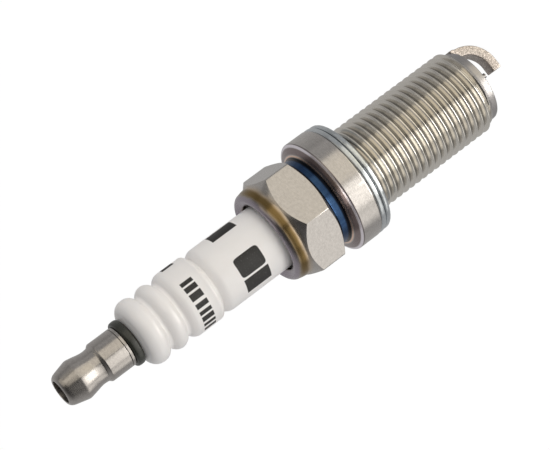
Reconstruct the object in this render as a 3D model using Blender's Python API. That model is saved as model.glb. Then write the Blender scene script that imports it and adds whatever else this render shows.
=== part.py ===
"""A 14 mm spark plug with a removable terminal nut, as separate pieces.

The origin is the middle of the shell's sealing seat and +Z runs along the plug's
axis towards the terminal. The ground electrode hangs from the shell on the +X side.
Lengths are written in millimetres and turned into metres when vertices are made.
"""

import math

import bmesh
import bpy

MM = 0.001

# --- Driving dimensions, in millimetres -------------------------------------------------
THREAD_DIAMETER = 13.9       # M14 x 1.25, as cut
THREAD_PITCH = 1.25
THREAD_ROOT_RADIUS = 6.2
REACH = 26.5                 # sealing seat to the end of the shell
HEX_FLATS = 16.0
COLLAR_DIAMETER = 18.9
INSULATOR_DIAMETER = 10.68
TERMINAL_DIAMETER = 6.5
STUD_DIAMETER = 3.9          # M4 x 0.7, as cut
STUD_PITCH = 0.7
FIRING_PIN_DIAMETER = 0.8
SPARK_GAP = 0.98
GROUND_WIDTH = 2.75
GROUND_THICKNESS = 1.5

# --- Heights over the sealing seat ------------------------------------------------------
COLLAR_TOP = 3.6
GROOVE_BOTTOM = 4.5
HEX_BOTTOM = 6.15
HEX_TOP = 12.45
CRIMP_TOP = 14.72
INSULATOR_TOP = 39.75
STUD_FOOT = 5.2
STUD_TOP = 49.0
WASHER_FOOT = 41.35
WASHER_TOP = 41.8
NUT_FOOT = 42.0
NUT_TOP = 52.5
UPPER_RING_HEIGHT = 13.0
LOWER_RING_HEIGHT = 9.95
UPPER_GLASS = (2.6, 4.9)
RESISTOR = (-2.3, 2.3)
LOWER_GLASS = (-4.7, -2.6)
GASKET_FOOT = -1.9
GASKET_TOP = -0.3
SHOULDER_TOP = 8.2           # the insulator's thick middle, inside the hexagon
SHOULDER_FOOT = 1.75
WAIST_TOP = -0.5
WAIST_FOOT = -11.6
LEDGE_TOP = -12.7            # the shell's inner ledge, which holds the insulator up
LEDGE_FOOT = -13.5
THROAT_FOOT = -14.7
UNDERCUT_BOTTOM = -2.05
LAND_TOP = -25.25
NOSE_END = -27.7
ELECTRODE_TOP = -5.0
ELECTRODE_END = -28.5
FIRING_PIN_END = -29.4

# --- Clearances and radii that several pieces share -------------------------------------
GAP = 0.3                    # between pieces that touch on the real plug
SHELL_BORE = 6.75
SHELL_WAIST_BORE = 4.65
SHELL_THROAT = 3.55
SHELL_CHAMBER = 4.4
INSULATOR_WAIST = 4.3
STUD_HOLE = 2.05
ELECTRODE_HOLE = 1.6
ELECTRODE_RADIUS = 1.25
CORE_HOLE = 0.85

# --- Facets -----------------------------------------------------------------------------
WIDE_COLUMNS = 30
NARROW_COLUMNS = 24
WIRE_COLUMNS = 16
HEX_PHASE = 18.8             # degrees from +X to the nearest hexagon corner
THREAD_PHASE_HEIGHT = -0.80  # height of a thread crest at HEX_PHASE
SHARP_ANGLE = 28.0           # edges sharper than this stay crisp


def arc(centre_r, centre_z, radius, start, end, steps):
    """Points (r, z) on an arc, with angles in degrees from +r towards +z."""
    points = []
    for i in range(steps + 1):
        angle = math.radians(start + (end - start) * i / steps)
        points.append((centre_r + radius * math.cos(angle), centre_z + radius * math.sin(angle)))
    return points


def material(name, colour, roughness, metallic=0.0):
    mat = bpy.data.materials.new(name)
    mat.use_nodes = True
    shader = mat.node_tree.nodes["Principled BSDF"]
    shader.inputs["Base Color"].default_value = (*colour, 1.0)
    shader.inputs["Roughness"].default_value = roughness
    shader.inputs["Metallic"].default_value = metallic
    return mat


def make_object(name, bm, mat, foot=0.0, parent=None):
    """Turns a bmesh in absolute millimetres into an object that stands at height foot."""
    bmesh.ops.remove_doubles(bm, verts=bm.verts, dist=1e-4)
    bmesh.ops.translate(bm, verts=bm.verts, vec=(0.0, 0.0, -foot))
    bmesh.ops.scale(bm, verts=bm.verts, vec=(MM, MM, MM))
    bmesh.ops.recalc_face_normals(bm, faces=bm.faces)
    mesh = bpy.data.meshes.new(name)
    bm.to_mesh(mesh)
    bm.free()
    mesh.materials.append(mat)
    mesh.shade_smooth()
    mesh.set_sharp_from_angle(angle=math.radians(SHARP_ANGLE))
    obj = bpy.data.objects.new(name, mesh)
    bpy.context.collection.objects.link(obj)
    obj.parent = parent
    lift = parent.location.z if parent else 0.0
    obj.location = (0.0, 0.0, foot * MM - lift)
    return obj


def make_axis(name, height):
    """An empty on the plug's axis, which carries the pieces that turn about it."""
    empty = bpy.data.objects.new(name, None)
    empty.empty_display_type = "ARROWS"
    empty.empty_display_size = 5 * MM
    empty.location = (0.0, 0.0, height * MM)
    bpy.context.collection.objects.link(empty)
    return empty


def turned(name, outline, mat, columns=NARROW_COLUMNS, foot=0.0, parent=None):
    """Spins an outline of (r, z) points about Z: a loop, or a line with both ends on the axis."""
    bm = bmesh.new()
    verts = [bm.verts.new((r, 0.0, z)) for r, z in outline]
    edges = [bm.edges.new(pair) for pair in zip(verts, verts[1:])]
    if outline[0][0] > 0.0:
        edges.append(bm.edges.new((verts[-1], verts[0])))
    bmesh.ops.spin(
        bm,
        geom=verts + edges,
        cent=(0.0, 0.0, 0.0),
        axis=(0.0, 0.0, 1.0),
        angle=2.0 * math.pi,
        steps=columns,
        use_merge=True,
    )
    return make_object(name, bm, mat, foot, parent)


def add_ring(bm, columns, radius, height, phase=0.0):
    """A loop of vertices about Z; radius and height may each be a function of the angle."""
    ring = []
    for i in range(columns):
        angle = math.radians(phase) + 2.0 * math.pi * i / columns
        r = radius(angle) if callable(radius) else radius
        z = height(angle) if callable(height) else height
        ring.append(bm.verts.new((r * math.cos(angle), r * math.sin(angle), z)))
    return ring


def bridge(bm, ring, other):
    count = len(ring)
    for i in range(count):
        j = (i + 1) % count
        bm.faces.new((ring[i], ring[j], other[j], other[i]))


def bridge_rows(bm, columns, rows, phase=0.0):
    """Rings for a list of (radius, height) rows, joined in order; returns the first and last ring."""
    rings = [add_ring(bm, columns, r, z, phase) for r, z in rows]
    for ring, other in zip(rings, rings[1:]):
        bridge(bm, ring, other)
    return rings[0], rings[-1]


def thread_band(bm, lower, upper, pitch, crest_height, profile, runout, phase=0.0):
    """A right-hand thread between two rings. profile lists (offset along Z, radius) in one pitch.

    The helix's rows are cut off at the two rings, and near them the profile fades into the
    rings' own radius over the length runout. crest_height is offset 0's height at the phase.
    """
    columns = len(lower)
    bottom, top = lower[0].co.z, upper[0].co.z
    end_radius = lower[0].co.xy.length
    first_turn = math.floor((bottom - crest_height) / pitch) - 2
    row_count = (math.ceil((top - bottom) / pitch) + 5) * len(profile)
    tolerance = 0.04 * pitch
    made = {}

    def vertex(column, row):
        row += len(profile) * (column // columns)
        column %= columns
        turn, point = divmod(row, len(profile))
        offset, radius = profile[point]
        height = crest_height + pitch * (first_turn + turn + column / columns) + offset
        if height < bottom + tolerance:
            return lower[column]
        if height > top - tolerance:
            return upper[column]
        if (column, row) not in made:
            depth = min(1.0, (height - bottom) / runout, (top - height) / runout)
            r = end_radius + (radius - end_radius) * depth
            angle = math.radians(phase) + 2.0 * math.pi * column / columns
            made[column, row] = bm.verts.new((r * math.cos(angle), r * math.sin(angle), height))
        return made[column, row]

    for column in range(columns):
        for row in range(row_count):
            corners = (
                vertex(column, row),
                vertex(column + 1, row),
                vertex(column + 1, row + 1),
                vertex(column, row + 1),
            )
            kept = list(dict.fromkeys(corners))
            if len(kept) > 2:
                bm.faces.new(kept)


def hex_radius(angle):
    """Distance from the axis to the hexagon's side in the direction angle."""
    turn = (angle - math.radians(HEX_PHASE)) % (math.pi / 3.0)
    return 0.5 * HEX_FLATS / math.cos(turn - math.pi / 6.0)


def add_shell(mat, parent):
    """Crimp, hexagon, thermal groove, collar, thread and stepped bore, in one piece of steel."""
    bm = bmesh.new()
    collar, collar_edge = 0.5 * COLLAR_DIAMETER, 0.25
    crest = 0.5 * THREAD_DIAMETER
    crest_half, root_half = THREAD_PITCH / 14.0, THREAD_PITCH / 9.0
    land, land_edge = 6.0, 0.25            # plain end below the thread
    groove = 7.42                          # floor of the thermal groove
    lower_rim, upper_rim = 7.75, 7.8       # where the hexagon's chamfer cones start
    lower_slope, upper_slope = math.tan(math.radians(30.0)), math.tan(math.radians(44.0))
    crimp_foot, crimp_middle, crimp_lip = 7.78, 6.4, 5.68

    below_thread = [
        (SHELL_CHAMBER, -REACH),
        (land - land_edge, -REACH),
        (land, land_edge - REACH),
        (land + 0.05, LAND_TOP - 0.1),
        (THREAD_ROOT_RADIUS, LAND_TOP),
    ]
    over_thread = [
        (THREAD_ROOT_RADIUS, UNDERCUT_BOTTOM),
        (THREAD_ROOT_RADIUS, 0.0),
        (collar - collar_edge, 0.0),
        (collar, collar_edge),
        (collar, COLLAR_TOP - 0.1),
        (collar - 0.1, COLLAR_TOP),
        (upper_rim, GROOVE_BOTTOM - 0.2),
        (groove + 0.08, GROOVE_BOTTOM),
        (groove, GROOVE_BOTTOM + 0.3),
        (groove, HEX_BOTTOM - 0.5),
        (groove + 0.13, HEX_BOTTOM - 0.15),
        (lower_rim, HEX_BOTTOM),
        (hex_radius, lambda a: HEX_BOTTOM + (hex_radius(a) - lower_rim) * lower_slope),
        (hex_radius, lambda a: HEX_TOP - (hex_radius(a) - upper_rim) * upper_slope),
        (upper_rim, HEX_TOP),
        (crimp_foot, CRIMP_TOP - 1.98),
        (crimp_foot - 0.08, CRIMP_TOP - 1.43),
        (crimp_foot - 0.26, CRIMP_TOP - 0.88),
        (crimp_middle + 0.85, CRIMP_TOP - 0.43),
        (crimp_middle + 0.45, CRIMP_TOP - 0.11),
        (crimp_middle, CRIMP_TOP),
        (crimp_middle - 0.45, CRIMP_TOP - 0.3),
        (crimp_lip, CRIMP_TOP - 0.58),
        (crimp_lip + 0.07, CRIMP_TOP - 0.83),
        (crimp_middle - 0.2, CRIMP_TOP - 0.98),
        (SHELL_BORE, CRIMP_TOP - 1.38),
        (SHELL_BORE, SHOULDER_FOOT - 0.35),
        (SHELL_WAIST_BORE, WAIST_TOP - 0.35),
        (SHELL_WAIST_BORE, LEDGE_TOP),
        (SHELL_THROAT, LEDGE_FOOT),
        (SHELL_THROAT, THROAT_FOOT),
        (SHELL_CHAMBER, THROAT_FOOT - 0.85),
    ]
    end_ring, thread_bottom = bridge_rows(bm, WIDE_COLUMNS, below_thread, HEX_PHASE)
    thread_top, chamber_ring = bridge_rows(bm, WIDE_COLUMNS, over_thread, HEX_PHASE)
    bridge(bm, chamber_ring, end_ring)
    thread_band(
        bm,
        thread_bottom,
        thread_top,
        THREAD_PITCH,
        THREAD_PHASE_HEIGHT,
        [
            (-crest_half, crest),
            (crest_half, crest),
            (0.5 * THREAD_PITCH - root_half, THREAD_ROOT_RADIUS),
            (0.5 * THREAD_PITCH + root_half, THREAD_ROOT_RADIUS),
        ],
        0.6 * THREAD_PITCH,
        HEX_PHASE,
    )
    return make_object("shell", bm, mat, 0.0, parent)


def add_gasket(mat, parent):
    """The captive sealing washer: sheet steel folded into two layers with a slit between them."""
    outer, inner, fold = 9.4, 6.6, 7.7
    slit = 0.5 * (GASKET_FOOT + GASKET_TOP)
    slit_half = 0.08
    outline = [
        (inner + 0.55, GASKET_FOOT),
        (outer - 0.4, GASKET_FOOT),
        (outer - 0.1, GASKET_FOOT + 0.2),
        (outer - 0.1, slit - 0.2),
        (outer - 0.3, slit - slit_half),
        (fold, slit - slit_half),
        (fold, slit + slit_half),
        (outer - 0.2, slit + slit_half),
        (outer, slit + 0.25),
        (outer, GASKET_TOP - 0.2),
        (outer - 0.25, GASKET_TOP),
        (inner + 0.25, GASKET_TOP),
        (inner, GASKET_TOP - 0.25),
        (inner, GASKET_FOOT + 0.5),
    ]
    return turned("gasket", outline, mat, WIDE_COLUMNS, 0.5 * (GASKET_FOOT + GASKET_TOP), parent)


def add_insulator(mat, parent):
    """The alumina insulator: ribs and body outside the shell, shoulders and nose inside it."""
    body = 0.5 * INSULATOR_DIAMETER
    rib, rib_curve = body + 0.04, 1.45
    flank = 64.0                           # how far each rib's arc runs down into its groove
    groove = 4.45
    top_rib, middle_rib, long_rib_top, long_rib_foot, body_top = 37.45, 34.2, 31.0, 27.05, 24.75
    head_curve, body_curve = 1.7, 1.7
    shoulder, neck, nose = SHELL_BORE - 0.35, SHELL_THROAT - 0.35, 2.2
    outline = [(STUD_HOLE, INSULATOR_TOP), (3.4, INSULATOR_TOP)]
    outline += arc(rib - head_curve, top_rib + 0.3, head_curve, 80.0, 0.0, 5)
    outline += arc(rib - rib_curve, top_rib, rib_curve, 0.0, -flank, 4)
    outline.append((groove, 0.5 * (top_rib + middle_rib)))
    outline += arc(rib - rib_curve, middle_rib, rib_curve, flank, -flank, 8)
    outline.append((groove, 0.5 * (middle_rib + long_rib_top)))
    outline += arc(rib + 0.05 - rib_curve, long_rib_top, rib_curve, flank, 0.0, 4)
    outline.append((rib + 0.05, long_rib_foot + 1.25))
    outline += arc(4.72, long_rib_foot, 0.54, 0.0, -80.0, 3)
    outline.append((groove + 0.05, long_rib_foot - 0.67))
    outline += arc(body - body_curve, body_top, body_curve, 58.0, 0.0, 4)
    outline += [
        (body, SHOULDER_TOP + 1.1),
        (shoulder, SHOULDER_TOP),
        (shoulder, SHOULDER_FOOT),
        (INSULATOR_WAIST, WAIST_TOP),
        (INSULATOR_WAIST, WAIST_FOOT),
        (neck, WAIST_FOOT - 0.8),
        (neck, THROAT_FOOT),
        (nose, NOSE_END + 0.5),
        (nose - 0.25, NOSE_END),
        (ELECTRODE_HOLE, NOSE_END),
        (ELECTRODE_HOLE, ELECTRODE_TOP - 2.6),
        (STUD_HOLE, ELECTRODE_TOP - 2.2),
    ]
    return turned("insulator", outline, mat, WIDE_COLUMNS, 0.0, parent)


def add_terminal_nut(mat, parent):
    """The terminal that a plug cap clips on: a collar, a waist and a cone, tapped inside."""
    bm = bmesh.new()
    widest, waist, mouth = 0.5 * TERMINAL_DIAMETER, 2.78, 1.85
    tapped_major, tapped_minor = 2.12, 1.72
    collar_top, waist_height, widest_height, tap_height = 45.43, 46.45, 49.35, 50.0
    waist_curve, bulge_curve, end_curve = 7.0, 0.85, 0.5
    outside = [
        (tapped_major + 0.18, NUT_FOOT),
        (widest - 0.2, NUT_FOOT),
        (widest - 0.02, NUT_FOOT + 0.18),
        (widest - 0.02, collar_top),
        (waist + 0.08, collar_top + 0.42),
    ]
    outside += arc(waist + waist_curve, waist_height, waist_curve, 180.0, 161.5, 4)
    outside += arc(widest - bulge_curve, widest_height, bulge_curve, -28.0, 14.0, 3)
    outside += arc(mouth + 0.35, NUT_TOP - end_curve, end_curve, 14.0, 90.0, 3)
    outside += [
        (mouth + 0.1, NUT_TOP),
        (mouth, NUT_TOP - 0.15),
        (mouth, tap_height + 0.2),
        (tapped_major, tap_height),
    ]
    foot_ring, tap_top = bridge_rows(bm, NARROW_COLUMNS, outside)
    tap_bottom = add_ring(bm, NARROW_COLUMNS, tapped_major, NUT_FOOT + 0.25)
    bridge(bm, tap_bottom, foot_ring)
    thread_band(
        bm,
        tap_bottom,
        tap_top,
        STUD_PITCH,
        NUT_FOOT,
        [(0.0, tapped_major), (0.5 * STUD_PITCH, tapped_minor)],
        0.8 * STUD_PITCH,
    )
    return make_object("terminal_nut", bm, mat, NUT_FOOT, parent)


def add_terminal_stud(mat, parent):
    """The rod in the insulator: grooved foot in the glass, plain shank, M4 thread on top."""
    bm = bmesh.new()
    shank, groove, root = 1.7, 1.5, 1.55
    groove_count, groove_spacing = 4, 1.0
    rows = [(shank - 0.4, STUD_FOOT), (shank, STUD_FOOT + 0.4)]
    for i in range(groove_count):
        foot = STUD_FOOT + 0.9 + i * groove_spacing
        rows += [(shank, foot), (groove, foot + 0.2), (groove, foot + 0.5), (shank, foot + 0.7)]
    rows += [(shank, NUT_FOOT - 0.3), (root, NUT_FOOT - 0.1)]
    foot_ring, thread_bottom = bridge_rows(bm, NARROW_COLUMNS, rows)
    thread_top, top_ring = bridge_rows(
        bm, NARROW_COLUMNS, [(root, STUD_TOP - 0.3), (root - 0.3, STUD_TOP)]
    )
    thread_band(
        bm,
        thread_bottom,
        thread_top,
        STUD_PITCH,
        NUT_FOOT,
        [(0.0, 0.5 * STUD_DIAMETER), (0.5 * STUD_PITCH, root)],
        0.8 * STUD_PITCH,
    )
    bm.faces.new(foot_ring)
    bm.faces.new(top_ring)
    return make_object("terminal_stud", bm, mat, STUD_FOOT, parent)


def add_ground_electrode(mat, parent):
    """A flat nickel bar, welded to the shell's end and bent over the centre electrode."""
    half = 0.5 * GROUND_THICKNESS
    root_x, bend = 5.2, 4.25
    leg_z = FIRING_PIN_END - SPARK_GAP - half
    bend_x, bend_z = root_x - bend, leg_z + bend
    tip_x = -0.35
    outer = arc(bend_x, bend_z, bend + half, 0.0, -90.0, 12)
    inner = arc(bend_x, bend_z, bend - half, -90.0, 0.0, 10)
    outline = [(root_x + half, -REACH - GAP), *outer, (tip_x, leg_z - half)]
    outline += [(tip_x, leg_z + half), *inner, (root_x - half, -REACH - GAP)]

    bm = bmesh.new()
    side = bm.faces.new([bm.verts.new((x, -0.5 * GROUND_WIDTH, z)) for x, z in outline])
    pulled = bmesh.ops.extrude_face_region(bm, geom=[side])["geom"]
    moved = [item for item in pulled if isinstance(item, bmesh.types.BMVert)]
    bmesh.ops.translate(bm, verts=moved, vec=(0.0, GROUND_WIDTH, 0.0))
    obj = make_object("ground_electrode", bm, mat, -REACH, parent)
    bevel = obj.modifiers.new("rolled_edges", "BEVEL")
    bevel.width = 0.15 * MM
    bevel.segments = 1
    bevel.limit_method = "ANGLE"
    bevel.angle_limit = math.radians(2.0 * SHARP_ANGLE)
    return obj


def packing_ring(name, height, mat, parent):
    """A wire ring in the space between the insulator and the shell."""
    middle = 0.5 * (SHELL_BORE + 0.5 * INSULATOR_DIAMETER)
    outline = arc(middle, height, 0.4, 0.0, 315.0, 7)
    return turned(name, outline, mat, NARROW_COLUMNS, height, parent)


def plug_in_bore(name, span, mat, parent):
    """A short round filling of the insulator's bore, with softened edges."""
    bottom, top = span
    radius, edge = STUD_HOLE - GAP, 0.2
    outline = [
        (0.0, bottom),
        (radius - edge, bottom),
        (radius, bottom + edge),
        (radius, top - edge),
        (radius - edge, top),
        (0.0, top),
    ]
    return turned(name, outline, mat, NARROW_COLUMNS, bottom, parent)


def add_center_electrode(nickel, copper, noble, parent):
    """The nickel rod, open at its head, the copper core in it and the firing pin on its end."""
    top, head = ELECTRODE_TOP, 1.7
    core, core_end = CORE_HOLE - GAP, -25.2
    outline = [
        (0.0, ELECTRODE_END),
        (0.55, ELECTRODE_END),
        (ELECTRODE_RADIUS, ELECTRODE_END + 0.6),
        (ELECTRODE_RADIUS, top - 2.0),
        (head, top - 1.55),
        (head, top - 0.15),
        (head - 0.15, top),
        (CORE_HOLE, top),
        (CORE_HOLE, core_end - 0.1),
        (0.0, core_end - 0.35),
    ]
    turned("center_electrode", outline, nickel, NARROW_COLUMNS, top, parent)

    outline = [(0.0, core_end), (core, core_end + 0.2), (core, top - 0.1), (core - 0.1, top)]
    outline.append((0.0, top))
    turned("center_electrode_core", outline, copper, WIRE_COLUMNS, top, parent)

    pin, edge = 0.5 * FIRING_PIN_DIAMETER, 0.06
    outline = [
        (0.0, FIRING_PIN_END),
        (pin - edge, FIRING_PIN_END),
        (pin, FIRING_PIN_END + edge),
        (pin, ELECTRODE_END - GAP),
        (0.0, ELECTRODE_END - GAP),
    ]
    turned("firing_pin", outline, noble, WIRE_COLUMNS, FIRING_PIN_END, parent)


def add_terminal_washer(mat, parent):
    """The thin washer that the terminal nut is screwed down on."""
    inner, outer, edge = 2.3, 3.2, 0.1
    outline = [
        (inner, WASHER_FOOT),
        (outer - edge, WASHER_FOOT),
        (outer, WASHER_FOOT + edge),
        (outer, WASHER_TOP - edge),
        (outer - edge, WASHER_TOP),
        (inner, WASHER_TOP),
    ]
    turned("terminal_washer", outline, mat, NARROW_COLUMNS, WASHER_FOOT, parent)


def add_terminal_o_ring(mat, parent):
    """The rubber ring between the insulator's end and the washer."""
    width, thickness, middle, height = 1.44, 1.1, 3.07, 40.55
    outline = []
    for r, z in arc(0.0, 0.0, 0.5, 0.0, 324.0, 9):
        outline.append((middle + r * width, height + z * thickness))
    turned("terminal_o_ring", outline, mat, NARROW_COLUMNS, height, parent)


def add_packing(steel, talc, copper, parent):
    """What seals the insulator in the shell: two wire rings, talc between them, a lower gasket."""
    packing_ring("lower_packing_ring", LOWER_RING_HEIGHT, steel, parent)
    packing_ring("upper_packing_ring", UPPER_RING_HEIGHT, steel, parent)

    inner, outer = 0.5 * INSULATOR_DIAMETER + GAP, SHELL_BORE - GAP
    foot, top = LOWER_RING_HEIGHT + 0.7, UPPER_RING_HEIGHT - 0.7
    outline = [(inner, foot), (outer, foot), (outer, top), (inner, top)]
    turned("talc_packing", outline, talc, NARROW_COLUMNS, foot, parent)

    outer, inner = INSULATOR_WAIST, SHELL_THROAT + 0.1
    drop, thickness = 0.47, 0.6
    top = WAIST_FOOT - 0.4
    outline = [
        (outer, top),
        (outer, top - thickness),
        (inner, top - thickness - drop),
        (inner, top - drop),
    ]
    turned("inner_gasket", outline, copper, NARROW_COLUMNS, top - thickness, parent)


def main():
    for obj in list(bpy.data.objects):
        bpy.data.objects.remove(obj, do_unlink=True)

    plated = material("plated_steel", (0.60, 0.58, 0.55), 0.30, 1.0)
    zinc = material("zinc_plated_steel", (0.66, 0.70, 0.72), 0.32, 1.0)
    bright = material("bright_nickel", (0.66, 0.63, 0.57), 0.26, 1.0)
    plain = material("plain_steel", (0.45, 0.44, 0.43), 0.40, 1.0)
    alloy = material("nickel_alloy", (0.55, 0.50, 0.43), 0.45, 1.0)
    noble = material("noble_metal", (0.72, 0.72, 0.74), 0.35, 1.0)
    copper = material("copper", (0.78, 0.42, 0.26), 0.35, 1.0)
    ceramic = material("glazed_alumina", (0.80, 0.78, 0.75), 0.22)
    rubber = material("black_rubber", (0.035, 0.040, 0.035), 0.55)
    talc = material("pressed_talc", (0.72, 0.71, 0.66), 0.90)
    glass = material("conductive_glass", (0.16, 0.13, 0.11), 0.35)
    carbon = material("resistor_compound", (0.06, 0.06, 0.06), 0.80)

    body_axis = make_axis("plug_axis", 0.0)
    gasket_axis = make_axis("gasket_axis", 0.5 * (GASKET_FOOT + GASKET_TOP))
    terminal_axis = make_axis("terminal_axis", NUT_FOOT)

    add_shell(plated, body_axis)
    add_gasket(zinc, gasket_axis)
    add_insulator(ceramic, body_axis)
    add_terminal_nut(bright, terminal_axis)
    add_terminal_stud(plain, body_axis)
    add_ground_electrode(alloy, body_axis)
    add_center_electrode(alloy, copper, noble, body_axis)

    add_terminal_washer(plain, terminal_axis)
    add_terminal_o_ring(rubber, body_axis)
    add_packing(plain, talc, copper, body_axis)
    plug_in_bore("upper_glass_seal", UPPER_GLASS, glass, body_axis)
    plug_in_bore("resistor", RESISTOR, carbon, body_axis)
    plug_in_bore("lower_glass_seal", LOWER_GLASS, glass, body_axis)


main()
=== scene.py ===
"""The looks of the spark plug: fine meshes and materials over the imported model, light and camera.

+Z runs along the plug's axis towards the terminal, z = 0 is the shell's sealing seat, and the
ground electrode is on the +X side. Shapes are drawn in millimetres. The main heights and radii
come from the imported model's boxes, and what is drawn between them is named where it is used.
"""

import math

import bpy
import numpy as np
from mathutils import Matrix, Vector


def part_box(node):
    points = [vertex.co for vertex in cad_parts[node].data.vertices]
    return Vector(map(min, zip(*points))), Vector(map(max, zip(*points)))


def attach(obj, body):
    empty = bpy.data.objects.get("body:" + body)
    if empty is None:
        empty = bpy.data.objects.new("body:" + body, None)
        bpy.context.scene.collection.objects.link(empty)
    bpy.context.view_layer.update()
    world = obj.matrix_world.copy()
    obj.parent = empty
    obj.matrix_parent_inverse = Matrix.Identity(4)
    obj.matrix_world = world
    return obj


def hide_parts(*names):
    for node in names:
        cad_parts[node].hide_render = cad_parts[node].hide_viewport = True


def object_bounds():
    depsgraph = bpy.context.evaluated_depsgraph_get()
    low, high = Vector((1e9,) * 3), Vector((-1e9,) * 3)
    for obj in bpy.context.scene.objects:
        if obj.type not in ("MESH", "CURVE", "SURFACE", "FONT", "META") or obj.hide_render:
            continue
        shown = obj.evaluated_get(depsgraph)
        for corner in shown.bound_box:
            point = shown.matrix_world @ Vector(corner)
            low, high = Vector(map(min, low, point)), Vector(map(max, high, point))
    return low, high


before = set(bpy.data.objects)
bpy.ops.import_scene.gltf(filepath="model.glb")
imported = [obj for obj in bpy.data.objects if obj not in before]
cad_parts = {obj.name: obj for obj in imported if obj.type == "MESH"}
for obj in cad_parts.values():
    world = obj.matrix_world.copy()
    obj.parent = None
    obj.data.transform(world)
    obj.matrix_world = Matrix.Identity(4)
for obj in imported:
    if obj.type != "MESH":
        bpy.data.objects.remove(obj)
cad_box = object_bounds()

MM = 0.001


def span(node):
    """(foot, top, radius) of a turned CAD node, in millimetres."""
    low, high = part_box(node)
    return low.z / MM, high.z / MM, max(high.x - low.x, high.y - low.y) / 2 / MM


SHELL_END, CRIMP_TOP, COLLAR_RADIUS = span("shell")
GASKET_FOOT, _, GASKET_RADIUS = span("gasket")
NOSE_END, INSULATOR_TOP, _ = span("insulator")
NUT_FOOT, NUT_TOP, NUT_RADIUS = span("terminal_nut")
STUD_FOOT, STUD_TOP, STUD_RADIUS = span("terminal_stud")
WASHER_FOOT, WASHER_TOP, WASHER_RADIUS = span("terminal_washer")
O_RING_FOOT, O_RING_TOP, O_RING_RADIUS = span("terminal_o_ring")
ELECTRODE_END, ELECTRODE_TOP, ELECTRODE_HEAD = span("center_electrode")
PIN_END, PIN_TOP, PIN_RADIUS = span("firing_pin")

# Heights on the shell, from the top of its plain end up to the crimp.
LAND_TOP, UNDERCUT = -25.25, -2.05
CONE_FOOT, CONE_TOP = 3.6, 4.28        # the collar's upper cone
GROOVE_FOOT, GROOVE_TOP = 4.42, 5.95   # the thermal groove
HEX_FOOT, HEX_TOP = 6.15, 12.45

HEX_FLATS = 16.0
HEX_PHASE = math.radians(18.8)         # from +X to the nearest corner of the hexagon
THREAD_PITCH, STUD_PITCH = 1.25, 0.7
THREAD_RADIUS, THREAD_ROOT = 6.95, 6.2
THREAD_CREST = -0.80                   # height of a thread crest in the direction HEX_PHASE
BODY_RADIUS = 5.34                     # the insulator between its ribs and the crimp

# The finest spacing of the columns is at the hexagon's corners.
SECTOR_COLUMNS = 32
ROUND_COLUMNS = 144
SHARP_ANGLE = math.radians(50.0)       # steeper edges stay sharp in the shading

# The camera looks along +Y and down, rolled so that the plug lies on the picture's diagonal.
CAMERA_TARGET, CAMERA_DISTANCE = Vector((0.849, 0.0, 12.052)) * MM, 323.734 * MM
CAMERA_ELEVATION, CAMERA_ROLL = 17.958, -126.713
LIGHT_DISTANCE = 0.8
FRONT_LEVEL, BACK_LEVEL = 0.22, 0.50   # brightness of the surroundings before and behind the plug


# --- Outlines and meshes ----------------------------------------------------------------


def arc(centre_r, centre_z, radius, start, end, steps):
    """Points (r, z) on an arc, with angles in degrees from +r towards +z."""
    turns = np.radians(np.linspace(start, end, steps + 1))
    return [(centre_r + radius * math.cos(a), centre_z + radius * math.sin(a)) for a in turns]


def rounded(corners, closed=True, steps=4):
    """An outline with soft corners from points (r, z) or (r, z, length of the corner's curve)."""
    outline = []
    count = len(corners)
    for i, corner in enumerate(corners):
        point = Vector(corner[:2])
        reach = corner[2] if len(corner) > 2 else 0.0
        if reach == 0.0 or (not closed and i in (0, count - 1)):
            outline.append(tuple(point))
            continue
        before = Vector(corners[i - 1][:2]) - point
        after = Vector(corners[(i + 1) % count][:2]) - point
        start = point + before.normalized() * min(reach, 0.48 * before.length)
        end = point + after.normalized() * min(reach, 0.48 * after.length)
        for step in range(steps + 1):
            t = step / steps
            outline.append(tuple((1 - t) ** 2 * start + 2 * t * (1 - t) * point + t * t * end))
    return outline


def even_angles(count):
    return np.arange(count) * (2 * math.pi / count)


def hexagon_angles():
    """Column angles that crowd together at the hexagon's six corners."""
    u = np.linspace(-1.0, 1.0, SECTOR_COLUMNS, endpoint=False) + 1.0 / SECTOR_COLUMNS
    sector = np.sign(u) * np.abs(u) ** 1.8 * math.pi / 6
    return np.concatenate([HEX_PHASE + k * math.pi / 3 + sector for k in range(6)])


def hexagon_radius(angles, corner=0.3):
    """Distance from the axis to a hexagon with rounded corners, for each angle."""
    apothem = HEX_FLATS / 2
    turn = (angles - HEX_PHASE + math.pi / 6) % (math.pi / 3) - math.pi / 6
    flat = apothem / np.cos(math.pi / 6 - np.abs(turn))
    centre = (apothem - corner) / math.cos(math.pi / 6)
    curve = centre * np.cos(turn) + np.sqrt(
        np.maximum(corner**2 - (centre * np.sin(turn)) ** 2, 0.0)
    )
    tangent = math.atan2(corner / 2, centre + corner * math.cos(math.pi / 6))
    return np.where(np.abs(turn) < tangent, curve, flat)


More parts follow.
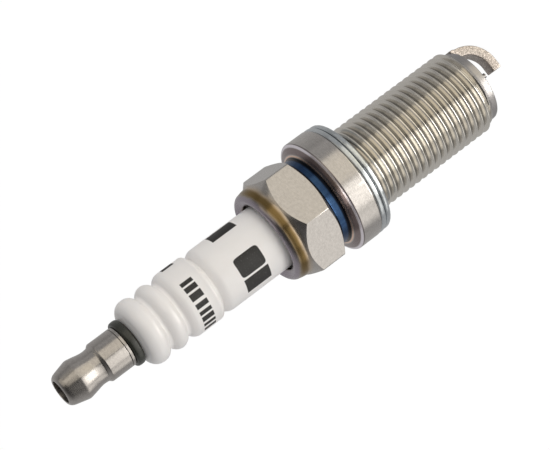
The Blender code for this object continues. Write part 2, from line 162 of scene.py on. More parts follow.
class Skin:
    """A mesh that is built up from rings of vertices round the Z axis."""

    def __init__(self, angles):
        self.angles = angles
        self.points, self.faces = [], []

    def ring(self, radius, height):
        """Adds a ring and returns its vertex numbers; radius and height may be arrays."""
        n = len(self.angles)
        r, z = np.broadcast_to(radius, n), np.broadcast_to(height, n)
        first = len(self.points)
        self.points.extend(zip(r * np.cos(self.angles), r * np.sin(self.angles), z))
        return list(range(first, first + n))

    def pole(self, height):
        self.points.append((0.0, 0.0, height))
        return [len(self.points) - 1] * len(self.angles)

    def rings(self, outline):
        """One ring or pole for each (r, z) of an outline, joined in order."""
        made = [self.pole(z) if np.max(r) < 1e-6 else self.ring(r, z) for r, z in outline]
        for lower, upper in zip(made, made[1:]):
            self.bridge(lower, upper)
        return made[0], made[-1]

    def bridge(self, a, b):
        n = len(a)
        for i in range(n):
            j = (i + 1) % n
            self.faces.append(tuple(dict.fromkeys((a[i], a[j], b[j], b[i]))))

    def thread(self, lower, upper, pitch, crest, profile, runout):
        """A right-hand thread between two rings; profile lists (part of a pitch, radius).

        The rows follow the helix and are cut off at the two rings. Over the length runout
        the profile fades into the rings' own radius.
        """
        n = len(self.angles)
        bottom, top = self.points[lower[0]][2], self.points[upper[0]][2]
        edge = math.hypot(*self.points[lower[0]][:2])
        turn_angle = (self.angles - self.angles[0]) / (2 * math.pi)
        first = math.floor((bottom - crest) / pitch) - 2
        rows = (math.ceil((top - bottom) / pitch) + 5) * len(profile)
        near = 0.012 * pitch
        made = {}

        def vertex(column, row):
            row += len(profile) * (column // n)
            column %= n
            turn, point = divmod(row, len(profile))
            offset, radius = profile[point]
            height = crest + pitch * (first + turn + turn_angle[column] + offset)
            if height < bottom + near:
                return lower[column]
            if height > top - near:
                return upper[column]
            if (column, row) not in made:
                depth = min(1.0, (height - bottom) / runout, (top - height) / runout)
                depth = depth * depth * (3 - 2 * depth)
                r = edge + (radius - edge) * depth
                angle = self.angles[column]
                self.points.append((r * math.cos(angle), r * math.sin(angle), height))
                made[column, row] = len(self.points) - 1
            return made[column, row]

        for column in range(n):
            for row in range(rows):
                corners = (
                    vertex(column, row),
                    vertex(column + 1, row),
                    vertex(column + 1, row + 1),
                    vertex(column, row + 1),
                )
                kept = tuple(dict.fromkeys(corners))
                if len(kept) > 2:
                    self.faces.append(kept)

    def piece(self, name, body, material, nodes=()):
        """Makes the object, with its faces outwards, and says what it stands for."""
        return make_piece(name, self.points, self.faces, body, material, nodes)


def make_piece(name, points, faces, body, material, nodes=()):
    mesh = bpy.data.meshes.new(name)
    mesh.from_pydata([tuple(c * MM for c in p) for p in points], [], faces)
    mesh.validate()
    if signed_volume(mesh) < 0:
        mesh.flip_normals()
    mesh.materials.append(material)
    mesh.shade_smooth()
    mesh.set_sharp_from_angle(angle=SHARP_ANGLE)
    obj = bpy.data.objects.new(name, mesh)
    bpy.context.scene.collection.objects.link(obj)
    weighted = obj.modifiers.new("even_shading", "WEIGHTED_NORMAL")
    weighted.keep_sharp = True
    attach(obj, body)
    if nodes:
        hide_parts(*nodes)
    return obj


def signed_volume(mesh):
    mesh.calc_loop_triangles()
    co = np.zeros(len(mesh.vertices) * 3)
    mesh.vertices.foreach_get("co", co)
    tri = np.zeros(len(mesh.loop_triangles) * 3, np.int32)
    mesh.loop_triangles.foreach_get("vertices", tri)
    a, b, c = co.reshape(-1, 3)[tri.reshape(-1, 3)].transpose(1, 0, 2)
    return float(np.einsum("ij,ij->i", a, np.cross(b, c)).sum())


def lathe(name, outline, body, material, nodes=(), columns=ROUND_COLUMNS):
    """A turned piece: the outline is a loop, or has both its ends on the axis."""
    skin = Skin(even_angles(columns))
    first, last = skin.rings(outline)
    if outline[0][0] > 1e-6:
        skin.bridge(last, first)
    return skin.piece(name, body, material, nodes)


def thread_profile(root, crest):
    """Points (part of a pitch, radius) of a 60 degree thread with a rounded crest and root."""
    half = [
        (0.045, 0.995),
        (0.08, 0.965),
        (0.12, 0.90),
        (0.27, 0.49),
        (0.41, 0.10),
        (0.445, 0.03),
        (0.475, 0.01),
    ]
    rising = [(-u, v) for u, v in reversed(half)]
    return [(u, root + (crest - root) * v) for u, v in [*rising, (0.0, 1.0), *half, (0.5, 0.0)]]


# --- Material nodes ---------------------------------------------------------------------


class Paint:
    """A material under construction, with short names for the nodes it needs."""

    def __init__(self, name):
        self.material = bpy.data.materials.new(name)
        self.material.use_nodes = True
        self.tree = self.material.node_tree
        self.shader = self.tree.nodes["Principled BSDF"]
        place = self.node("TexCoord").outputs["Object"]
        self.place = self.vector("SCALE", place, scale=1 / MM)      # millimetres
        split = self.node("SeparateXYZ", {"Vector": self.place})
        self.x, self.y, self.z = (split.outputs[axis] for axis in "XYZ")

    def node(self, kind, inputs=None, **settings):
        made = self.tree.nodes.new("ShaderNode" + kind)
        for key, value in settings.items():
            setattr(made, key, value)
        for key, value in (inputs or {}).items():
            self.put(made.inputs[key], value)
        return made

    def put(self, socket, value):
        if isinstance(value, bpy.types.NodeSocket):
            self.tree.links.new(value, socket)
        else:
            socket.default_value = value

    def set(self, **inputs):
        for key, value in inputs.items():
            self.put(self.shader.inputs[key.replace("_", " ")], value)

    def math(self, operation, a, b=0.0, c=0.0, clamp=False):
        inputs = {0: a, 1: b, 2: c}
        return self.node("Math", inputs, operation=operation, use_clamp=clamp).outputs[0]

    def vector(self, operation, a, b=None, scale=None):
        inputs = {0: a}
        if b is not None:
            inputs[1] = b
        if scale is not None:
            inputs["Scale"] = scale
        return self.node("VectorMath", inputs, operation=operation).outputs["Vector"]

    def stretch(self, x, y, z):
        return self.vector("MULTIPLY", self.place, (x, y, z))

    def ramp(self, value, low, high, to_low=0.0, to_high=1.0):
        """Runs smoothly from to_low to to_high as value goes from low to high."""
        inputs = {"Value": value, 1: low, 2: high, 3: to_low, 4: to_high}
        return self.node("MapRange", inputs, interpolation_type="SMOOTHSTEP").outputs[0]

    def band(self, value, low, high, soft):
        """1 between low and high, falling to 0 over the length soft on both sides."""
        rise = self.ramp(value, low - soft / 2, low + soft / 2)
        fall = self.ramp(value, high - soft / 2, high + soft / 2, 1.0, 0.0)
        return self.math("MULTIPLY", rise, fall)

    def noise(self, vector, scale, detail=2.0, roughness=0.5):
        inputs = {"Vector": vector, "Scale": scale, "Detail": detail, "Roughness": roughness}
        return self.node("TexNoise", inputs).outputs["Fac"]

    def mix(self, factor, a, b, blend="MIX"):
        made = self.node("Mix", data_type="RGBA", blend_type=blend)
        for i, value in ((0, factor), (6, a), (7, b)):
            if isinstance(value, tuple):
                value = (*value, 1.0)
            self.put(made.inputs[i], value)
        return made.outputs[2]

    def bump(self, height, strength, distance):
        inputs = {"Height": height, "Strength": strength, "Distance": distance * MM}
        self.set(Normal=self.node("Bump", inputs).outputs["Normal"])

    def angle(self):
        """Degrees round the axis, from -Y and growing towards -X."""
        back_x = self.math("MULTIPLY", self.x, -1.0)
        back_y = self.math("MULTIPLY", self.y, -1.0)
        return self.math("DEGREES", self.math("ARCTAN2", back_x, back_y))


def turned_metal(
    name, colour, roughness, grain=0.10, anisotropy=0.6, bumps=0.35, tint=None, polish=None
):
    """Satin metal off a lathe: fine lines round the axis, mottled plating, stretched gloss.

    tint and polish are functions that change the colour and the roughness from place to place.
    """
    paint = Paint(name)
    mottle = paint.noise(paint.stretch(1.0, 1.0, 1.0), 2.6, 4.0, 0.6)
    fine = paint.noise(paint.stretch(1.0, 1.0, 1.0), 11.0, 2.0, 0.5)
    streak = paint.noise(paint.stretch(0.25, 0.25, 14.0), 1.0, 3.0, 0.6)
    dark = tuple(c * (1 - 2.2 * grain) for c in colour)
    light = tuple(min(1.0, c * (1 + 1.2 * grain)) for c in colour)
    shade = paint.mix(paint.ramp(mottle, 0.3, 0.7), dark, light)
    shade = paint.mix(paint.ramp(streak, 0.25, 0.75, 0.0, 0.5), shade, colour)
    if tint is not None:
        shade = tint(paint, shade)
    rough = paint.math(
        "MULTIPLY_ADD", paint.math("ADD", fine, streak), 0.25 * roughness, 0.75 * roughness
    )
    if polish is not None:
        rough = polish(paint, rough)
    paint.set(Base_Color=shade, Metallic=1.0, Roughness=rough)
    tangent = paint.node("Tangent", direction_type="RADIAL", axis="Z")
    paint.set(Anisotropic=anisotropy, Anisotropic_Rotation=0.25)
    paint.set(Tangent=tangent.outputs["Tangent"])
    height = paint.math("MULTIPLY_ADD", streak, 0.5, paint.math("MULTIPLY", fine, 0.6))
    paint.bump(height, bumps, 0.02)
    return paint.material


def shell_tint(paint, shade):
    """Colours of the shell by height: heat colours of the crimp, thermal groove and collar cone, a
    painted shadow in the groove, a painted highlight and shade on the collar's top edge, painted
    shade in the thread's roots, and tints of the thread and plain end.
    """
    wobble = paint.noise(paint.stretch(0.5, 0.5, 0.5), 1.0, 2.0)
    z = paint.math("MULTIPLY_ADD", paint.math("SUBTRACT", wobble, 0.5), 0.4, paint.z)
    gold = paint.mix(
        paint.ramp(z, HEX_TOP + 0.05, HEX_TOP + 0.75), (0.50, 0.38, 0.25), (0.20, 0.135, 0.055)
    )
    shade = paint.mix(paint.band(z, HEX_TOP + 0.05, HEX_TOP + 1.75, 1.1), shade, gold)
    lavender = (0.34, 0.30, 0.35)
    shade = paint.mix(paint.ramp(z, HEX_TOP + 1.55, HEX_TOP + 2.0, 0.0, 0.85), shade, lavender)
    cloud = paint.noise(paint.stretch(1, 1, 0.4), 1.4)
    blue = paint.mix(cloud, (0.012, 0.026, 0.08), (0.05, 0.105, 0.20))
    shadow, copper, brown = (0.006, 0.007, 0.011), (0.85, 0.60, 0.48), (0.26, 0.21, 0.21)
    # Painted light on the collar's top edge: a pale highlight line on the foot of the cone, and a
    # darker line of shade just under it.
    painted_edge_highlight, painted_edge_shade = (0.85, 0.80, 0.86), (0.20, 0.17, 0.17)
    for low, high, soft, colour in (
        # Painted shadow over the thermal groove; the blue heat colour covers its middle.
        (CONE_TOP + 0.06, HEX_FOOT - 0.05, 0.15, shadow),
        (GROOVE_FOOT + 0.43, GROOVE_TOP - 0.03, 0.35, blue),
        (CONE_TOP - 0.03, CONE_TOP + 0.05, 0.05, copper),
        (CONE_FOOT + 0.2, CONE_TOP - 0.08, 0.1, brown),
        # painted highlight and painted shade along the collar's top edge
        (CONE_FOOT, CONE_FOOT + 0.18, 0.08, painted_edge_highlight),
        (CONE_FOOT - 0.18, CONE_FOOT - 0.04, 0.08, painted_edge_shade),
    ):
        shade = paint.mix(paint.band(paint.z, low, high, soft), shade, colour)
    below_collar = paint.ramp(paint.z, UNDERCUT - 0.35, UNDERCUT + 0.05, 0.85, 0.0)
    shade = paint.mix(below_collar, shade, (0.72, 0.69, 0.635))
    # Painted shade in the thread's roots: darker where the radius nears the root, along the threaded
    # length.
    across = paint.vector("MULTIPLY", paint.place, (1.0, 1.0, 0.0))
    radius = paint.node("VectorMath", {0: across}, operation="LENGTH").outputs["Value"]
    root = paint.ramp(radius, THREAD_ROOT + 0.02, THREAD_ROOT + 0.25, 1.0, 0.0)
    threaded = paint.band(paint.z, LAND_TOP + 1.25, UNDERCUT + 0.1, 0.5)
    painted_root_shade = paint.math("MULTIPLY", root, threaded)
    shade = paint.mix(paint.math("MULTIPLY", painted_root_shade, 0.7), shade, (0.14, 0.13, 0.11))
    plain_end = paint.ramp(paint.z, LAND_TOP + 0.05, LAND_TOP + 0.85, 0.8, 0.0)
    return paint.mix(plain_end, shade, (0.34, 0.33, 0.34))


def shell_polish(paint, rough):
    """The rolled thread is smoother than the turned parts above it, and the plain end duller."""
    thread = paint.ramp(paint.z, UNDERCUT - 0.35, UNDERCUT + 0.05, 0.7)
    rough = paint.math("MULTIPLY", rough, thread)
    plain_end = paint.ramp(paint.z, LAND_TOP - 0.05, LAND_TOP + 0.35, 2.2, 1.0)
    return paint.math("MULTIPLY", rough, plain_end)


def glazed_ceramic():
    """White glazed alumina with plain black marks round it."""
    paint = Paint("glazed_alumina")
    angle = paint.angle()
    cloud = paint.noise(paint.stretch(1, 1, 1), 0.35, 2.0)
    white = paint.mix(cloud, (0.82, 0.80, 0.785), (0.85, 0.83, 0.82))
    ink = None
    for shape in ceramic_marks(paint, angle):
        ink = shape if ink is None else paint.math("MAXIMUM", ink, shape)
    worn = paint.noise(paint.stretch(1, 1, 1), 5.0, 3.0)
    ink = paint.math("MULTIPLY", ink, paint.ramp(worn, 0.2, 0.45, 0.94, 1.0))
    black = paint.mix(worn, (0.006, 0.005, 0.005), (0.016, 0.015, 0.014))
    paint.set(Base_Color=paint.mix(ink, white, black))
    gloss = paint.ramp(cloud, 0.3, 0.7, 0.30, 0.38)
    paint.set(Roughness=paint.math("MULTIPLY_ADD", ink, 0.35, gloss), IOR=1.5)
    paint.set(Coat_Weight=0.12, Coat_Roughness=0.15)
    paint.set(Subsurface_Weight=0.15, Subsurface_Scale=0.4 * MM)
    paint.shader.inputs["Subsurface Radius"].default_value = (1.0, 0.9, 0.8)
    ripple = paint.noise(paint.stretch(1, 1, 1), 0.8, 1.0)
    paint.bump(ripple, 0.25, 0.05)
    return paint.material


def ceramic_marks(paint, angle):
    """Masks for the printed marks: upright bars on the long rib, blocks on the body."""
    soft_angle, soft_z = 1.2, 0.12
    on_rib = paint.band(paint.z, 28.45, 30.55, soft_z)
    bars = ((-79, 18), (-20, 7), (-9, 9), (5, 12), (21, 9), (34, 7), (46, 10), (59, 7), (72, 9))
    for middle, width in bars:
        across = paint.band(angle, middle - width / 2, middle + width / 2, soft_angle)
        yield paint.math("MULTIPLY", across, on_rib)
    foot, top = 17.85, 22.3
    on_body = paint.band(paint.z, foot, top, soft_z)
    for middle, width in ((-65, 28), (48, 28)):
        across = paint.band(angle, middle - width / 2, middle + width / 2, soft_angle)
        yield paint.math("MULTIPLY", across, on_body)
    # A block with round corners: the two distances from its middle, each to a high power.
    roundness = 7.0
    across = paint.math("DIVIDE", paint.math("SUBTRACT", angle, 13.0), 17.5)
    along = paint.math("SUBTRACT", paint.z, (foot + top) / 2)
    along = paint.math("DIVIDE", along, (top - foot) / 2)
    away = paint.math("POWER", paint.math("ABSOLUTE", across), roundness)
    away = paint.math("ADD", away, paint.math("POWER", paint.math("ABSOLUTE", along), roundness))
    yield paint.ramp(away, 0.8, 1.2, 1.0, 0.0)


def rubber():
    paint = Paint("black_rubber")
    grain = paint.noise(paint.stretch(1, 1, 1), 9.0, 3.0)
    paint.set(Base_Color=paint.mix(grain, (0.010, 0.011, 0.008), (0.024, 0.026, 0.018)))
    paint.set(Roughness=paint.ramp(grain, 0.3, 0.7, 0.24, 0.4), Specular_IOR_Level=0.6)
    paint.bump(grain, 0.3, 0.02)
    return paint.material


def speckled_nickel():
    """Drawn nickel alloy with a grainy, slightly heated surface."""
    paint = Paint("nickel_alloy")
    coarse = paint.noise(paint.stretch(1, 1, 1), 5.0, 4.0, 0.7)
    fine = paint.noise(paint.stretch(1, 1, 1), 9.0, 3.0, 0.6)
    shade = paint.mix(paint.ramp(coarse, 0.35, 0.65), (0.22, 0.195, 0.18), (0.66, 0.60, 0.56))
    shade = paint.mix(paint.ramp(fine, 0.55, 0.75, 0.0, 0.6), shade, (0.30, 0.25, 0.20))
    paint.set(Base_Color=shade, Metallic=1.0, Roughness=paint.ramp(fine, 0.3, 0.7, 0.34, 0.5))
    paint.bump(paint.math("ADD", coarse, fine), 0.5, 0.05)
    return paint.material


def powder(name, dark, light, roughness, metallic=0.0):
    """A plain mottled surface, for the pieces inside."""
    paint = Paint(name)
    grain = paint.noise(paint.stretch(1, 1, 1), 4.0, 4.0, 0.6)
    paint.set(Base_Color=paint.mix(paint.ramp(grain, 0.3, 0.7), dark, light))
    paint.set(Roughness=paint.ramp(grain, 0.3, 0.7, 0.9 * roughness, roughness))
    paint.set(Metallic=metallic)
    paint.bump(grain, 0.3, 0.03)
    return paint.material


# --- Pieces -----------------------------------------------------------------------------


def add_shell(material):
    angles = hexagon_angles()
    skin = Skin(angles)
    hexagon = hexagon_radius(angles)
    lower_rim, upper_rim = 7.75, 7.8   # radii where the hexagon's cones start
    lower_slope, upper_slope = math.tan(math.radians(30)), math.tan(math.radians(44))
    groove = 7.42
    chamber, throat, waist, bore = 4.4, 3.55, 4.65, 6.75
    soft = 0.05                        # width of the hexagon's worn edges

    below = rounded(
        [
            (chamber, SHELL_END + 0.4),
            (chamber, SHELL_END, 0.15),
            (6.0, SHELL_END, 0.3),
            (6.05, LAND_TOP - 0.15, 0.1),
            (THREAD_ROOT, LAND_TOP),
        ],
        closed=False,
    )
    above = rounded(
        [
            (THREAD_ROOT, UNDERCUT),
            (THREAD_ROOT, 0.0, 0.15),
            (COLLAR_RADIUS, 0.0, 0.28),
            (COLLAR_RADIUS, CONE_FOOT, 0.16),
            (upper_rim, CONE_TOP, 0.06),
            (groove, GROOVE_FOOT, 0.15),
            (groove, GROOVE_TOP, 0.3),
            (lower_rim, HEX_FOOT),
        ],
        closed=False,
    )
    crimp = [(upper_rim, HEX_TOP), (7.79, HEX_TOP + 0.3), (7.76, HEX_TOP + 0.61)]
    crimp += [(7.66, HEX_TOP + 1.15)]
    bend = 0.98
    crimp += arc(6.62, CRIMP_TOP - bend, bend, 2.0, 76.0, 9)
    lip = ((6.5, 0.1), (6.15, 0.24), (5.88, 0.39), (5.72, 0.56), (5.70, 0.72), (5.82, 0.87))
    crimp += [(r, CRIMP_TOP - depth) for r, depth in (*lip, (6.2, 1.02), (bore, 1.32))]
    inside = [
        (bore, 1.4),
        (waist, -0.85),
        (waist, -12.7),
        (throat, -13.5),
        (throat, -14.7),
        (chamber, -15.55),
        (chamber, -20.0),
    ]
    end_ring, thread_foot = skin.rings(below)
    thread_top, hex_ring = skin.rings(above)
    skin.thread(
        thread_foot,
        thread_top,
        THREAD_PITCH,
        THREAD_CREST + THREAD_PITCH * (angles[0] - HEX_PHASE) / (2 * math.pi),
        thread_profile(THREAD_ROOT, THREAD_RADIUS),
        0.6 * THREAD_PITCH,
    )

    def lower_cone(r):
        return HEX_FOOT + (r - lower_rim) * lower_slope

    def upper_cone(r):
        return HEX_TOP - (r - upper_rim) * upper_slope

    sides = [
        (hexagon - soft, lower_cone(hexagon - soft)),
        (hexagon - soft / 4, lower_cone(hexagon) + soft / 3),
        (hexagon, lower_cone(hexagon) + soft),
        (hexagon, upper_cone(hexagon) - soft),
        (hexagon - soft / 4, upper_cone(hexagon) - soft / 3),
        (hexagon - soft, upper_cone(hexagon - soft)),
    ]
    side_foot, side_top = skin.rings(sides)
    crimp_foot, chamber_ring = skin.rings(crimp + inside)
    skin.bridge(hex_ring, side_foot)
    skin.bridge(side_top, crimp_foot)
    skin.bridge(chamber_ring, end_ring)
    return skin.piece("shell_steel", "plug", material, ["shell"])


def add_gasket(material):
    top = -0.03                        # drawn up to the collar, which it lies against
    slit = -0.98
    edge = GASKET_RADIUS
    outline = rounded(
        [
            (7.0, GASKET_FOOT, 0.15),
            (edge - 0.08, GASKET_FOOT, 0.38),
            (edge - 0.06, slit - 0.05, 0.3),
            (7.9, slit - 0.03, 0.02),
            (7.9, slit + 0.03, 0.02),
            (edge, slit + 0.05, 0.3),
            (edge, top, 0.3),
            (6.6, top, 0.3),
            (6.6, GASKET_FOOT + 0.5, 0.2),
        ]
    )
    columns = 180
    return lathe("folded_gasket", outline, "captive_gasket", material, ["gasket"], columns)


def add_insulator(material):
    body = BODY_RADIUS
    rib, curve, flank = body + 0.04, 1.45, 64.0
    groove = 4.45
    long_rib = rib + 0.05
    outline = rounded([(2.05, 36.0), (2.05, INSULATOR_TOP, 0.2), (3.4, INSULATOR_TOP)], closed=False)
    outline += arc(rib - 1.7, 37.75, 1.7, 80.0, 0.0, 12)
    outline += arc(rib - curve, 37.45, curve, 0.0, -flank, 10)
    outline += arc(groove + 0.42, 35.82, 0.42, 150.0, 210.0, 5)
    outline += arc(rib - curve, 34.2, curve, flank, -flank, 20)
    outline += arc(groove + 0.45, 32.62, 0.42, 150.0, 210.0, 5)
    outline += arc(long_rib - curve, 31.0, curve, flank, 0.0, 10)
    outline += [(long_rib, 30.5), (long_rib, 28.3)]
    outline += arc(4.79, 27.2, 0.64, 20.0, -62.0, 8)
    outline += arc(groove + 0.42, 26.3, 0.38, 150.0, 212.0, 5)
    outline += arc(body - 1.7, 24.75, 1.7, 56.0, 0.0, 10)
    outline += [(body, 24.0), (body, 9.3)]
    outline += rounded(
        [
            (body, 9.2),
            (6.4, 8.2, 0.2),
            (6.4, 1.75, 0.3),
            (4.3, -0.5, 0.3),
            (4.3, -11.6, 0.2),
            (3.2, -12.4, 0.2),
            (3.2, -14.7, 0.3),
            (2.2, NOSE_END, 0.35),
            (1.6, NOSE_END, 0.1),
            (1.6, -7.6),
            (2.05, -7.2),
        ],
        closed=False,
    )
    return lathe("ceramic_insulator", outline, "plug", material, ["insulator"])


def add_terminal_nut(material):
    angles = even_angles(ROUND_COLUMNS)
    skin = Skin(angles)
    foot = WASHER_TOP + 0.04           # drawn down to the washer, which it lies against
    collar, waist, ridge = NUT_RADIUS - 0.02, 2.78, NUT_RADIUS + 0.02
    major, minor, mouth = 2.12, 1.72, 1.86
    outside = rounded(
        [
            (2.3, foot),
            (collar, foot, 0.12),
            (collar, 45.40, 0.12),
            (waist + 0.07, 45.83, 0.14),
            (waist, 46.5, 0.45),
            (waist + 0.02, 47.05, 0.6),
            (3.15, 48.75, 0.5),
            (ridge, 49.5, 0.28),
            (2.62, 52.05, 0.5),
            (2.2, NUT_TOP, 0.25),
            (mouth, NUT_TOP, 0.1),
            (mouth, 50.25, 0.05),
            (major, 50.0),
        ],
        closed=False,
        steps=6,
    )
    foot_ring, tap_top = skin.rings(outside)
    tap_foot = skin.ring(major, foot + 0.3)
    skin.bridge(tap_foot, foot_ring)
    profile = [(0.0, major), (0.1, major), (0.4, minor), (0.6, minor), (0.9, major)]
    skin.thread(tap_foot, tap_top, STUD_PITCH, NUT_FOOT, profile, 0.8 * STUD_PITCH)
    return skin.piece("clip_terminal", "nut", material, ["terminal_nut"])


def add_terminal_stud(material):
    skin = Skin(even_angles(72))
    shank, groove, root = 1.7, 1.5, 1.55
    rows = [(1.3, STUD_FOOT), (shank, STUD_FOOT + 0.4)]
    for i in range(4):
        foot = STUD_FOOT + 0.9 + i
        rows += [(shank, foot), (groove, foot + 0.2), (groove, foot + 0.5), (shank, foot + 0.7)]
    rows += [(shank, NUT_FOOT - 0.3), (root, NUT_FOOT - 0.1)]
    _, thread_foot = skin.rings([(0.0, STUD_FOOT), *rows])
    thread_top, _ = skin.rings([(root, STUD_TOP - 0.3), (1.25, STUD_TOP), (0.0, STUD_TOP)])
    profile = thread_profile(root, STUD_RADIUS)
    skin.thread(thread_foot, thread_top, STUD_PITCH, NUT_FOOT, profile, 0.8 * STUD_PITCH)
    return skin.piece("threaded_stud", "plug", material, ["terminal_stud"])


def add_small_rings(steel, rubber_material):
    outline = rounded(
        [
            (2.25, WASHER_FOOT - 0.08, 0.05),
            (WASHER_RADIUS + 0.03, WASHER_FOOT - 0.08, 0.12),
            (WASHER_RADIUS + 0.03, WASHER_TOP, 0.06),
            (2.25, WASHER_TOP, 0.05),
        ]
    )
    lathe("thrust_ring", outline, "thrust_washer", steel, ["terminal_washer"])
    foot, top = O_RING_FOOT - 0.12, O_RING_TOP + 0.16
    outline = rounded(
        [
            (2.4, foot, 0.3),
            (O_RING_RADIUS - 0.1, foot, 0.3),
            (O_RING_RADIUS, (foot + top) / 2, 0.4),
            (O_RING_RADIUS - 0.12, top, 0.35),
            (2.4, top, 0.3),
        ],
        steps=7,
    )
    lathe("rubber_ring", outline, "plug", rubber_material, ["terminal_o_ring"])


def add_ground_electrode(material):
    """A bar swept along its bend, with rounded edges and a ring of weld at its root."""
    low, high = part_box("ground_electrode")
    width, thickness = (high.y - low.y) / MM, 1.5
    root_x = high.x / MM - thickness / 2
    leg_z = low.z / MM + thickness / 2
    tip_x = low.x / MM
    bend = 4.25
    centre = Vector((root_x - bend, 0.0, leg_z + bend))
    path = [(Vector((root_x, 0, SHELL_END + 0.1)), 0.0, 0.20)]
    for angle in np.linspace(0.0, 90.0, 46):
        a = math.radians(angle)
        weld = 0.17 * max(0.0, 1.0 - angle / 8.0) ** 2
        path.append((centre + bend * Vector((math.cos(a), 0, -math.sin(a))), a, weld))
    for x in np.linspace(centre.x, tip_x + 0.12, 7)[1:]:
        path.append((Vector((x, 0, leg_z)), math.pi / 2, 0.0))
    path.append((Vector((tip_x + 0.03, 0, leg_z)), math.pi / 2, -0.05))
    path.append((Vector((tip_x, 0, leg_z)), math.pi / 2, -0.12))

    side, radius, steps = [], 0.16, 4
    for sx, sy, start in ((1, 1, 0), (-1, 1, 90), (-1, -1, 180), (1, -1, 270)):
        for step in range(steps + 1):
            a = math.radians(start + 90 * step / steps)
            side.append((sx, sy, math.cos(a), math.sin(a)))
    points, faces = [], []
    for place, turn, swell in path:
        out = Vector((math.cos(turn), 0.0, -math.sin(turn)))
        for sx, sy, ox, oy in side:
            u = sx * (thickness / 2 + swell - radius) + ox * radius
            v = sy * (width / 2 + swell - radius) + oy * radius
            points.append(place + out * u + Vector((0.0, v, 0.0)))
    n = len(side)
    for k in range(len(path) - 1):
        for i in range(n):
            j = (i + 1) % n
            faces.append((k * n + i, k * n + j, (k + 1) * n + j, (k + 1) * n + i))
    faces.append(tuple(range(n)))
    faces.append(tuple(range((len(path) - 1) * n, len(path) * n)))
    return make_piece(
        "bent_ground_bar", points, faces, "plug", material, ["ground_electrode"]
    )


def add_firing_end(nickel, noble):
    outline = [(0.0, ELECTRODE_TOP)] + rounded(
        [
            (0.85, ELECTRODE_TOP),
            (ELECTRODE_HEAD, ELECTRODE_TOP, 0.15),
            (ELECTRODE_HEAD, -6.6, 0.1),
            (1.25, -7.0, 0.1),
            (1.25, ELECTRODE_END + 0.6, 0.15),
            (0.55, ELECTRODE_END),
        ],
        closed=False,
    )
    outline.append((0.0, ELECTRODE_END))
    lathe("electrode_rod", outline, "plug", nickel, ["center_electrode"], 72)
    outline = [(0.0, PIN_TOP + 0.32)] + rounded(
        [(PIN_RADIUS, PIN_TOP + 0.32), (PIN_RADIUS, PIN_END, 0.06), (0.0, PIN_END)],
        closed=False,
    )
    lathe("fine_wire_pin", outline, "plug", noble, ["firing_pin"], 48)


def dress_inner_nodes(materials):
    for node, material in materials.items():
        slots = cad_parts[node].material_slots
        for slot in slots:
            slot.material = material


# --- Floor, light and camera ------------------------------------------------------------


def add_floor():
    """A white floor under the plug. Only the camera sees it, so it throws no light upwards."""
    size, height = 6.0, cad_box[0].z - 0.0002
    mesh = bpy.data.meshes.new("floor")
    corners = [(-size, -size), (size, -size), (size, size), (-size, size)]
    mesh.from_pydata([(x, y, height) for x, y in corners], [], [(0, 1, 2, 3)])
    floor = bpy.data.objects.new("floor", mesh)
    bpy.context.scene.collection.objects.link(floor)
    paint = Paint("white_floor")
    grain = paint.noise(paint.stretch(1, 1, 1), 0.02, 2.0)
    paint.set(Base_Color=paint.mix(grain, (0.10, 0.10, 0.10), (0.11, 0.11, 0.11)))
    paint.set(Roughness=1.0, Specular_IOR_Level=0.0)
    paint.set(Emission_Color=(1.0, 1.0, 1.0, 1.0), Emission_Strength=0.97)
    mesh.materials.append(paint.material)
    floor.visible_glossy = floor.visible_diffuse = False
    floor.visible_shadow = floor.visible_transmission = False


def direction(azimuth, elevation):
    """Unit vector from the plug; azimuth 0 is -Y, 90 is +X, in degrees."""
    a, e = math.radians(azimuth), math.radians(elevation)
    return Vector((math.sin(a) * math.cos(e), -math.cos(a) * math.cos(e), math.sin(e)))


def add_soft_box(name, azimuth, elevation, width, height, radiance, colour, felt_by="all"):
    """A rectangular light that spans width by height degrees as seen from the plug.

    felt_by is "all", "shiny" for a light that shows only in reflections, or "matt" for one
    that lights only matt surfaces.
    """
    light = bpy.data.lights.new(name, "AREA")
    light.shape = "RECTANGLE"
    light.size = 2 * LIGHT_DISTANCE * math.tan(math.radians(width / 2))
    light.size_y = 2 * LIGHT_DISTANCE * math.tan(math.radians(height / 2))
    light.energy = radiance * math.pi * light.size * light.size_y
    light.color = colour
    lamp = bpy.data.objects.new(name, light)
    way = direction(azimuth, elevation)
    lamp.location = Vector((0, 0, 0.005)) + way * LIGHT_DISTANCE
    lamp.rotation_mode = "QUATERNION"
    lamp.rotation_quaternion = way.to_track_quat("Z", "Y")
    lamp.visible_camera = False
    lamp.visible_glossy = felt_by != "matt"
    lamp.visible_diffuse = felt_by != "shiny"
    bpy.context.scene.collection.objects.link(lamp)


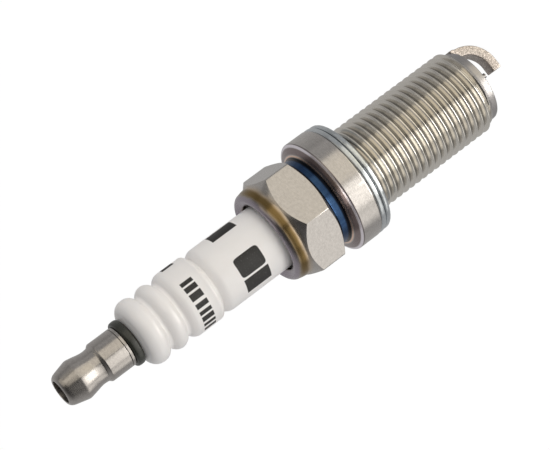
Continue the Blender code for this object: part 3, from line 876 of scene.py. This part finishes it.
def add_lights():
    """Soft boxes: a bright side on the left, a beige one on the right, and pale matt fills.

    The thread's upper flanks mirror what is under the plug, by way of the flanks opposite.
    """
    cream, beige, olive = (1.0, 0.97, 0.91), (1.0, 0.93, 0.80), (1.0, 0.89, 0.55)
    plain, cool = (1.0, 0.99, 0.98), (0.96, 0.97, 1.0)
    add_soft_box("key_core", -33, -18, 50, 50, 0.52, cream)
    add_soft_box("key_slope", -42, -17, 68, 36, 0.36, cream)
    add_soft_box("key_edge", -54, -17, 92, 36, 0.52, cream)
    add_soft_box("beige_card", 25, -16, 52, 76, 0.86, beige)
    add_soft_box("beige_skirt", 68, -16, 34, 70, 0.20, plain)
    add_soft_box("under_key", -36, -48, 38, 26, 6.2, cream, "shiny")
    add_soft_box("under_beige", 22, -47, 34, 20, 0.7, olive, "shiny")
    add_soft_box("under_end", 0, -86, 50, 50, 0.5, cream, "shiny")
    add_soft_box("hexagon_card", -84, -15, 16, 32, 0.50, cream, "shiny")
    add_soft_box("beige_high", 50, 38, 46, 40, 0.55, beige, "shiny")
    add_soft_box("front_fill", 0, 10, 80, 80, 0.41, cool, "matt")
    add_soft_box("left_fill", -80, 0, 70, 80, 0.45, cool, "matt")
    add_soft_box("right_fill", 80, 0, 70, 80, 0.52, cool, "matt")


def add_world():
    """Plain studio surroundings: paler behind, darker in front and darkest high up in front."""
    world = bpy.data.worlds.new("studio")
    bpy.context.scene.world = world
    world.use_nodes = True
    tree = world.node_tree
    background = tree.nodes["Background"]
    place = tree.nodes.new("ShaderNodeTexCoord")
    split = tree.nodes.new("ShaderNodeSeparateXYZ")
    tree.links.new(place.outputs["Generated"], split.inputs[0])
    back = tree.nodes.new("ShaderNodeMapRange")
    back.interpolation_type = "SMOOTHSTEP"
    tree.links.new(split.outputs["Y"], back.inputs["Value"])
    for i, value in ((1, -0.6), (2, 0.6), (3, FRONT_LEVEL), (4, BACK_LEVEL)):
        back.inputs[i].default_value = value
    over = tree.nodes.new("ShaderNodeMapRange")
    over.interpolation_type = "SMOOTHSTEP"
    tree.links.new(split.outputs["Z"], over.inputs["Value"])
    for i, value in ((1, 0.0), (2, 0.3), (3, FRONT_LEVEL), (4, FRONT_LEVEL / 4)):
        over.inputs[i].default_value = value
    tree.links.new(over.outputs[0], back.inputs[3])
    path = tree.nodes.new("ShaderNodeLightPath")
    level = tree.nodes.new("ShaderNodeMix")
    tree.links.new(path.outputs["Is Camera Ray"], level.inputs[0])
    tree.links.new(back.outputs[0], level.inputs[2])
    level.inputs[3].default_value = 1.0
    tree.links.new(level.outputs[0], background.inputs["Strength"])
    background.inputs["Color"].default_value = (1.0, 0.99, 0.98, 1.0)


def add_camera():
    """The photograph's view: from 18 degrees above the seat's plane, rolled to the diagonal."""
    camera = bpy.data.cameras.new("camera")
    camera.sensor_width, camera.lens = 36.0, 144.0
    camera.clip_start, camera.clip_end = 0.01, 20.0
    obj = bpy.data.objects.new("camera", camera)
    back = direction(0.0, CAMERA_ELEVATION)
    level = Vector((1.0, 0.0, 0.0))
    roll = math.radians(CAMERA_ROLL)
    right = math.cos(roll) * level + math.sin(roll) * back.cross(level)
    up = back.cross(right)
    turn = Matrix((right, up, back)).transposed().to_4x4()
    obj.matrix_world = Matrix.Translation(CAMERA_TARGET + back * CAMERA_DISTANCE) @ turn
    bpy.context.scene.collection.objects.link(obj)
    bpy.context.scene.camera = obj


def main():
    steel = {"grain": 0.06, "bumps": 0.16}
    plating = (0.50, 0.475, 0.455)
    nickel_shell = turned_metal(
        "plated_steel", plating, 0.27, tint=shell_tint, polish=shell_polish, **steel
    )
    zinc = turned_metal("zinc_steel", (0.55, 0.58, 0.60), 0.24, grain=0.06)
    bright = turned_metal("bright_nickel", (0.44, 0.415, 0.395), 0.26, anisotropy=0.5, **steel)
    plain = turned_metal("plain_steel", (0.36, 0.35, 0.34), 0.32)
    noble = turned_metal("noble_metal", (0.30, 0.29, 0.29), 0.35)
    nickel = speckled_nickel()

    add_shell(nickel_shell)
    add_gasket(zinc)
    add_insulator(glazed_ceramic())
    add_terminal_nut(bright)
    add_terminal_stud(plain)
    add_small_rings(bright, rubber())
    add_ground_electrode(nickel)
    add_firing_end(nickel, noble)

    copper = powder("copper", (0.55, 0.24, 0.13), (0.75, 0.38, 0.24), 0.4, 1.0)
    glass = powder("conductive_glass", (0.07, 0.05, 0.04), (0.16, 0.12, 0.10), 0.35)
    dress_inner_nodes(
        {
            "center_electrode_core": copper,
            "inner_gasket": copper,
            "upper_glass_seal": glass,
            "lower_glass_seal": glass,
            "resistor": powder("resistor_compound", (0.03, 0.03, 0.03), (0.09, 0.09, 0.09), 0.8),
            "talc_packing": powder("pressed_talc", (0.60, 0.59, 0.54), (0.78, 0.77, 0.72), 0.9),
            "lower_packing_ring": plain,
            "upper_packing_ring": plain,
        }
    )

    add_floor()
    add_world()
    add_lights()
    add_camera()
    bpy.context.scene.view_settings.view_transform = "Standard"


main()
